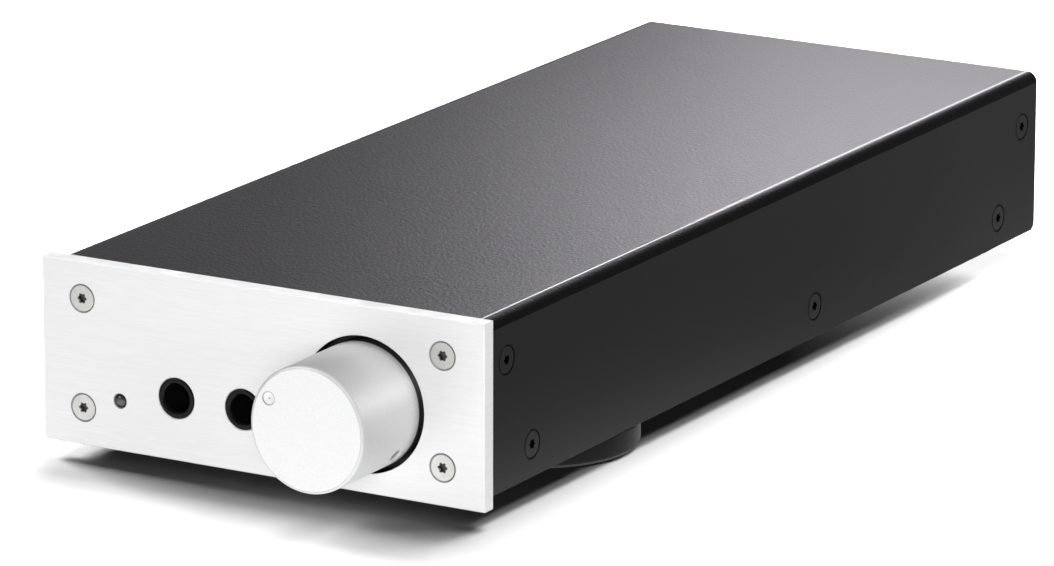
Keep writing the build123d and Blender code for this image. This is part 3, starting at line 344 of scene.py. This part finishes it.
def shade_heads(m, base, tone, axis, face, centres, glint, inner):
    """Paint shade into the recesses and round the rims of screw heads whose faces lie at `face`
    along `axis`.

    `glint` leaves some painted light on the recess floors; `inner` is the strength of a painted
    dark ring of shade.
    """
    depth = m.mul(m.sub(face, m.size(m.parts(m.co)[axis])), 1.0)
    radius = m.near(axis, centres)
    seat = m.remap(m.facing(axis), over=(0.90, 0.98))
    # painted shade in the recess, with some painted light left on its floor
    base = m.tint(base, grey(0.01), m.remap(depth, over=(0.00025, 0.0007)),
                  amount=m.sub(0.96, m.mul(seat, glint)))
    # painted shade in the gap round the head's rim
    base = m.tint(base, toned(tone, 0.05), m.remap(radius, over=(0.00284, 0.00296)),
                  amount=0.85)
    # a painted dark ring of shade on the head
    return m.tint(base, toned(tone, 0.2), m.ring(radius, at=0.0017, half=0.00006, soft=0.00014),
                  amount=inner)


def plated_metal(name, dull, bright, rough, metal=1.0, heads=None):
    """`heads` holds the arguments of shade_heads, for screws seen from outside."""
    m = Mat(name)
    normal, edge = m.edges(radius=0.00012)
    grain = m.noise(scale=2600.0, detail=3.0, rough=0.6)
    base = m.mix(m.remap(m.noise(scale=220.0)), dull, bright)
    base = m.tint(base, toned(bright, 1.25, lift=0.03), edge, amount=0.5)
    if heads:
        base = shade_heads(m, base, dull, **heads)
    return m.finish(color=base, metal=metal, rough=m.remap(grain, to=rough),
                    normal=m.bump(grain, strength=0.12, distance=0.00003, normal=normal))


def moulded_plastic(name, tone, rough, grain=1500.0, bump=0.18, spec=0.45, edge_tone=None):
    m = Mat(name)
    normal, edge = m.edges(radius=0.0002)
    fine = m.noise(scale=grain, detail=3.0, rough=0.6)
    base = m.mix(m.remap(m.noise(scale=35.0)), tone, toned(tone, 1.25))
    base = m.tint(base, edge_tone or toned(tone, 1.8, lift=0.01), edge, amount=0.3)
    return m.finish(color=base, rough=m.remap(fine, to=rough), spec=spec,
                    normal=m.bump(fine, strength=bump, distance=0.00006, normal=normal))


def circuit_board(name):
    m = Mat(name)
    normal, edge = m.edges(radius=0.0001)
    tracks = m.node("ShaderNodeTexBrick", {
        "Vector": m.co, "Scale": 90.0, "Mortar Size": 0.035, "Color1": grey(0.0),
        "Color2": grey(0.25), "Mortar": grey(1.0)}, offset=0.35).outputs
    weave = m.noise(scale=1800.0)
    base = m.mix(tracks["Color"], (0.008, 0.075, 0.030), (0.025, 0.17, 0.065))
    base = m.tint(base, (0.35, 0.33, 0.18), edge, amount=0.5)
    return m.finish(color=base, rough=m.remap(weave, to=(0.22, 0.36)), spec=0.5,
                    normal=m.bump(tracks["Fac"], strength=0.2, distance=0.00005,
                                  normal=normal))


def tape_wrap(name):
    """Overlapping turns of polyester tape round a toroidal core."""
    m = Mat(name)
    from_centre = m.node("ShaderNodeMapping",
                         {"Vector": m.co, "Location": -box_centre("transformer")}).outputs[0]
    x, y, z = m.parts(from_centre)
    # nine laps for each radian round the core
    turn = m.calc("FRACT", m.mul(m.calc("ARCTAN2", y, x), 9.0))
    lap = m.fade(turn, over=(0.0, 0.12), smooth=True)
    crinkle = m.noise(scale=380.0, detail=3.0, rough=0.6)
    base = m.mix(turn, (0.50, 0.36, 0.05), (0.66, 0.50, 0.10))
    base = m.tint(base, (0.22, 0.15, 0.02), lap, amount=0.6)
    return m.finish(color=base, rough=m.remap(crinkle, to=(0.18, 0.34)), spec=0.5, coat=0.3,
                    normal=m.bump(m.add(turn, m.mul(crinkle, 0.4)), strength=0.5,
                                  distance=0.0003))


def smoked_lens(name):
    """Near black with painted shade towards the rim, and a paler core of painted light set a
    little right of and below the centre.
    """
    m = Mat(name)
    swirl = m.noise(scale=900.0)
    centre = box_centre("indicator_lamp")
    x, y, z = m.parts(m.co)
    radius = m.radius(x, z, centre.x + 0.0003, centre.z - 0.0003)
    # painted light: the paler core, off centre where the light falls
    core = m.fade(radius, over=(0.0003, 0.0014), smooth=True)
    base = m.mix(core, grey(0.005), (0.085, 0.083, 0.080))
    base = m.tint(base, grey(0.10), swirl, amount=0.2)
    return m.finish(color=base, rough=m.remap(swirl, to=(0.06, 0.12)), ior=1.5, spec=0.5,
                    coat=0.5)


def fuse_glass(name):
    """Clear tube in the middle, plated caps on both ends."""
    m = Mat(name)
    along = m.size(m.sub(m.parts(m.co)[0], box_centre("fuse").x))
    cap = m.remap(along, over=(0.0048, 0.0051))
    return m.finish(color=m.mix(cap, (0.80, 0.86, 0.85), (0.72, 0.72, 0.70)), metal=cap,
                    rough=m.remap(m.noise(scale=1200.0), to=(0.08, 0.2)),
                    trans=m.sub(0.9, m.mul(cap, 0.9)))


# each material, and the pieces that wear it
FINISHES = (
    (brushed_aluminium("panel_brushed"), "front_panel"),
    (blasted_aluminium("knob_blasted"), "volume_knob"),
    (cover_coat("case_powder_coat"), "top_cover rear_panel"),
    (inner_coat("inner_powder_coat"), "front_subpanel bottom_tray"),
    (plated_metal("nickel_screw", grey(0.62), grey(0.74), rough=(0.22, 0.36)),
     "board_spacers board_screws transistor_screws inlet_pins earth_screw"),
    (plated_metal("front_screw", (0.64, 0.635, 0.62), (0.74, 0.735, 0.72), rough=(0.30, 0.40),
                  metal=0.6, heads=dict(axis=Y_AXIS, face=0.124, centres=FRONT_HEADS,
                                        glint=0.12, inner=0.0)),
     "front_panel_screws"),
    (plated_metal("side_screw", (0.009, 0.009, 0.0095), (0.013, 0.013, 0.0135),
                  rough=(0.34, 0.46), metal=0.0,
                  heads=dict(axis=X_AXIS, face=0.05346, centres=SIDE_HEADS,
                             glint=0.0, inner=0.7)),
     "cover_side_screws"),
    (plated_metal("black_oxide_screw", (0.020, 0.020, 0.021), (0.040, 0.040, 0.041),
                  rough=(0.26, 0.40), metal=0.6),
     "rear_screws foot_screws transformer_bolt knob_set_screw"),
    (plated_metal("zinc_steel", (0.50, 0.51, 0.52), (0.66, 0.67, 0.68), rough=(0.26, 0.40)),
     "clinch_nuts transformer_clamp transformer_nut potentiometer_nut potentiometer_shaft "
     "lamp_leads rca_nuts"),
    (plated_metal("plated_contact", (0.62, 0.50, 0.24), (0.78, 0.66, 0.36),
                  rough=(0.16, 0.28)),
     "potentiometer_wiper socket_springs_left socket_springs_right rca_shells rca_contacts"),
    (moulded_plastic("foot_plastic", (0.0085, 0.0085, 0.009), rough=(0.40, 0.52),
                     grain=1300.0, bump=0.25, spec=0.30),
     "foot_front_left foot_front_right foot_rear"),
    (moulded_plastic("pad_rubber", grey(0.030), rough=(0.70, 0.85), grain=1800.0,
                     bump=0.5, spec=0.2),
     "foot_pads transformer_pads"),
    (moulded_plastic("socket_plastic", (0.0035, 0.0035, 0.0037), rough=(0.14, 0.22),
                     grain=2200.0, bump=0.05, spec=0.16, edge_tone=grey(0.012)),
     "headphone_socket_left headphone_socket_right"),
    (moulded_plastic("inlet_plastic", (0.012, 0.012, 0.013), rough=(0.34, 0.48),
                     grain=1700.0, bump=0.22),
     "mains_inlet fuse_drawer"),
    (moulded_plastic("white_plastic", (0.62, 0.62, 0.60), rough=(0.35, 0.5), bump=0.12,
                     edge_tone=(0.75, 0.75, 0.73)),
     "rca_insulators gain_lever_1 gain_lever_2"),
    (moulded_plastic("red_plastic", (0.30, 0.025, 0.020), rough=(0.28, 0.4), bump=0.12),
     "film_capacitors gain_switch"),
    (moulded_plastic("component_black", (0.014, 0.014, 0.015), rough=(0.40, 0.55),
                     grain=1600.0, bump=0.2),
     "rectifier op_amps output_relay output_transistors potentiometer_body signal_cable"),
    (moulded_plastic("capacitor_sleeve", (0.012, 0.018, 0.060), rough=(0.22, 0.34),
                     grain=900.0, bump=0.12),
     "reservoir_capacitors"),
    (plated_metal("black_anodised", (0.020, 0.020, 0.022), (0.036, 0.036, 0.038),
                  rough=(0.34, 0.46), metal=0.7),
     "heat_sink"),
    (circuit_board("circuit_board"), "main_board input_board"),
    (tape_wrap("transformer_tape"), "transformer"),
    (smoked_lens("smoked_lens"), "indicator_lamp"),
    (fuse_glass("fuse_glass"), "fuse"),
    (moulded_plastic("wire_blue", (0.020, 0.030, 0.18), rough=(0.36, 0.5), grain=1200.0,
                     bump=0.15),
     "mains_wires secondary_wires input_wires"),
    (moulded_plastic("wire_green", (0.10, 0.22, 0.02), rough=(0.36, 0.5), grain=1200.0,
                     bump=0.15),
     "earth_lead"),
)
FINISH_OF = {piece: material for material, pieces in FINISHES for piece in pieces.split()}
for name, obj in NODES.items():
    obj.data.materials.clear()
    obj.data.materials.append(FINISH_OF[name])
    for polygon in obj.data.polygons:
        polygon.material_index = 0


# ---------------------------------------------------------------------------
# floor and world
# ---------------------------------------------------------------------------
def floor_material():
    """Pale grey, darker to bounced light; reflections see a soft glow painted on it."""
    m = Mat("pale_floor")
    cloud = m.noise(scale=9.0)
    ray = m.node("ShaderNodeLightPath").outputs
    tone = m.mix(m.remap(cloud), grey(0.345), grey(0.355))
    m.finish(color=m.mix(ray["Is Diffuse Ray"], tone, grey(0.13)), rough=0.85, spec=0.0)
    x, y, z = m.parts(m.co)
    side = m.fade(x, over=(0.03, 0.10), smooth=True)
    rise = m.remap(x, over=(-0.14, 0.0), to=(0.60, 1.26))
    front = m.remap(y, over=(-0.12, 0.10), to=(1.0, 0.35), smooth=True)
    glow = m.add(0.06, m.mul(m.mul(side, rise), front))
    color = m.node("ShaderNodeCombineColor", {0: glow, 1: glow, 2: glow}).outputs[0]
    emission = m.node("ShaderNodeEmission", {0: color}).outputs[0]
    m.feed(m.out.inputs[0], m.mix_shader(m.mul(ray["Is Glossy Ray"], 0.92),
                                         m.surface.outputs[0], emission))
    return m.material


def make_floor(half=30.0):
    mesh = bpy.data.meshes.new("floor")
    bm = bmesh.new()
    corners = ((-half, -half, 0), (half, -half, 0), (half, half, 0), (-half, half, 0))
    bm.faces.new([bm.verts.new(corner) for corner in corners])
    bm.to_mesh(mesh)
    bm.free()
    floor = bpy.data.objects.new("floor", mesh)
    scene.collection.objects.link(floor)
    mesh.materials.append(floor_material())
    return floor


def make_world():
    """White to the camera, mid grey in reflections, faint light otherwise."""
    world = bpy.data.worlds.new("studio")
    scene.world = world
    world.use_nodes = True
    g = Graph(world.node_tree)

    def background(color, strength):
        return g.node("ShaderNodeBackground", {0: color, 1: strength}).outputs[0]

    out = g.node("ShaderNodeOutputWorld")
    ray = g.node("ShaderNodeLightPath").outputs
    direction = g.node("ShaderNodeTexCoord").outputs["Generated"]
    height = g.node("ShaderNodeSeparateXYZ", {0: direction}).outputs["Z"]
    ramp = g.node("ShaderNodeValToRGB", {0: height})
    low, high = ramp.color_ramp.elements
    low.position, low.color = 0.0, (0.55, 0.55, 0.56, 1)
    high.position, high.color = 1.0, (0.80, 0.80, 0.80, 1)
    ambient = background(ramp.outputs[0], strength=0.04)
    reflected = background((0.42, 0.41, 0.43), strength=0.43)
    backdrop = background(grey(1.0), strength=1.0)
    unseen = g.mix_shader(ray["Is Glossy Ray"], ambient, reflected)
    g.feed(out.inputs[0], g.mix_shader(ray["Is Camera Ray"], unseen, backdrop))


FLOOR = make_floor()
make_world()


# ---------------------------------------------------------------------------
# lights
# ---------------------------------------------------------------------------
def link_group(name, objects):
    group = bpy.data.collections.new(name)
    for member in objects:
        group.objects.link(member)
    return group


def softbox(name, at, aim, size, power, on, color=(1, 1, 1), glossy=True, diffuse=True,
            shade=None):
    """Rectangular light that falls only on `on`; if `shade` is given, only it casts shadows."""
    data = bpy.data.lights.new(name, "AREA")
    data.shape = "RECTANGLE"
    data.size, data.size_y = size
    data.energy = power
    data.color = color
    light = bpy.data.objects.new(name, data)
    scene.collection.objects.link(light)
    light.location = at
    light.visible_glossy = glossy
    light.visible_diffuse = diffuse
    light.rotation_mode = "QUATERNION"
    light.rotation_quaternion = (Vector(aim) - Vector(at)).to_track_quat("-Z", "Y")
    light.light_linking.receiver_collection = link_group(name + "_lit", on)
    if shade:
        light.light_linking.blocker_collection = link_group(name + "_shade", shade)


FRONT = [NODES[name] for name in (
    "front_panel", "front_panel_screws", "volume_knob", "headphone_socket_left",
    "headphone_socket_right", "indicator_lamp", "knob_set_screw")]
COVER = [NODES["top_cover"]]
PANEL = [NODES["front_panel"]]
KNOB = [NODES["volume_knob"]]
SET_SCREW = [NODES["knob_set_screw"]]
REST = [obj for name, obj in NODES.items() if name not in ("volume_knob", "knob_set_screw")]

softbox("floor_key", at=(0.04, 0.37, 1.02), aim=(0.0, 0.0, 0.0), size=(0.66, 0.60),
        power=41.0, glossy=False, on=[FLOOR], shade=REST)
softbox("floor_left", at=(-1.00, 0.105, 0.836), aim=(-0.03, -0.12, 0.0), size=(0.44, 0.40),
        power=42.0, glossy=False, on=[FLOOR])
softbox("floor_right", at=(0.676, 0.253, 1.065), aim=(0.03, -0.12, 0.0), size=(0.30, 0.30),
        power=6.0, glossy=False, on=[FLOOR])
softbox("floor_back", at=(-0.12, 1.45, 0.20), aim=(0.03, 0.12, 0.0), size=(0.5, 0.25),
        power=330.0, glossy=False, on=[FLOOR])
softbox("overhead", at=(0.12, 0.36, 1.02), aim=(0.0, 0.0, 0.0), size=(0.66, 0.60),
        power=16.0, on=REST)
softbox("knob_top", at=(0.12, 0.30, 1.02), aim=(0.02, -0.13, 0.03), size=(0.66, 0.60),
        power=3.8, glossy=False, on=KNOB)
softbox("front_left", at=(-0.95, -1.15, 0.75), aim=(0.0, -0.05, 0.03), size=(0.8, 0.7),
        power=6.0, diffuse=False, on=FRONT)
softbox("front_right", at=(0.53, -1.24, 0.30), aim=(0.04, -0.13, 0.025), size=(0.5, 0.4),
        power=15.2, glossy=False, on=FRONT)
softbox("knob_sheen", at=(0.55, 0.66, 0.30), aim=(0.03, -0.13, 0.03), size=(0.34, 0.30),
        power=0.62, diffuse=False, on=KNOB, shade=SET_SCREW)
softbox("panel_side", at=(1.25, -0.62, 0.16), aim=(0.05, -0.124, 0.025), size=(0.4, 0.4),
        power=5.3, glossy=False, on=PANEL)
softbox("edge_strip", at=(-0.11, 0.425, 0.254), aim=(0.053, 0.0, 0.044), size=(0.26, 0.06),
        power=0.43, color=(0.98, 0.96, 1.0), on=COVER)
softbox("top_glow", at=(-0.20, 0.62, 0.265), aim=(0.05, 0.10, 0.044), size=(0.18, 0.20),
        power=0.32, color=(0.98, 0.95, 1.0), on=COVER)

# ---------------------------------------------------------------------------
# camera and view
# ---------------------------------------------------------------------------
CAMERA_AT = (0.78856, -1.37552, 0.4468)
CAMERA_RIGHT = (0.87486242, 0.48431858, 0.0071592)
CAMERA_FORWARD = (-0.46531994, 0.84446462, -0.26524868)
# slopes that turn the view a little, to place the object in the frame without lens shift
TURN_RIGHT, TURN_UP = -0.0197222642, 0.0040325355


def squared(back, right):
    """(right, up) made square to the back direction."""
    up = back.cross(right).normalized()
    return up.cross(back).normalized(), up


camera_data = bpy.data.cameras.new("camera")
camera = bpy.data.objects.new("camera", camera_data)
scene.collection.objects.link(camera)
scene.camera = camera
camera_data.sensor_fit = "HORIZONTAL"
camera_data.sensor_width = 36.0
camera_data.lens = 248.1711575
camera_data.clip_start = 0.05
camera_data.clip_end = 60.0
back = -Vector(CAMERA_FORWARD).normalized()
right, up = squared(back, Vector(CAMERA_RIGHT).normalized())
back = (back - right * TURN_RIGHT - up * TURN_UP).normalized()
right, up = squared(back, right)
rotation = Matrix((right, up, back)).transposed()
camera.matrix_world = Matrix.Translation(CAMERA_AT) @ rotation.to_4x4()

scene.view_settings.view_transform = "Standard"
scene.view_settings.look = "None"
scene.view_settings.exposure = 0.0
scene.view_settings.gamma = 1.0
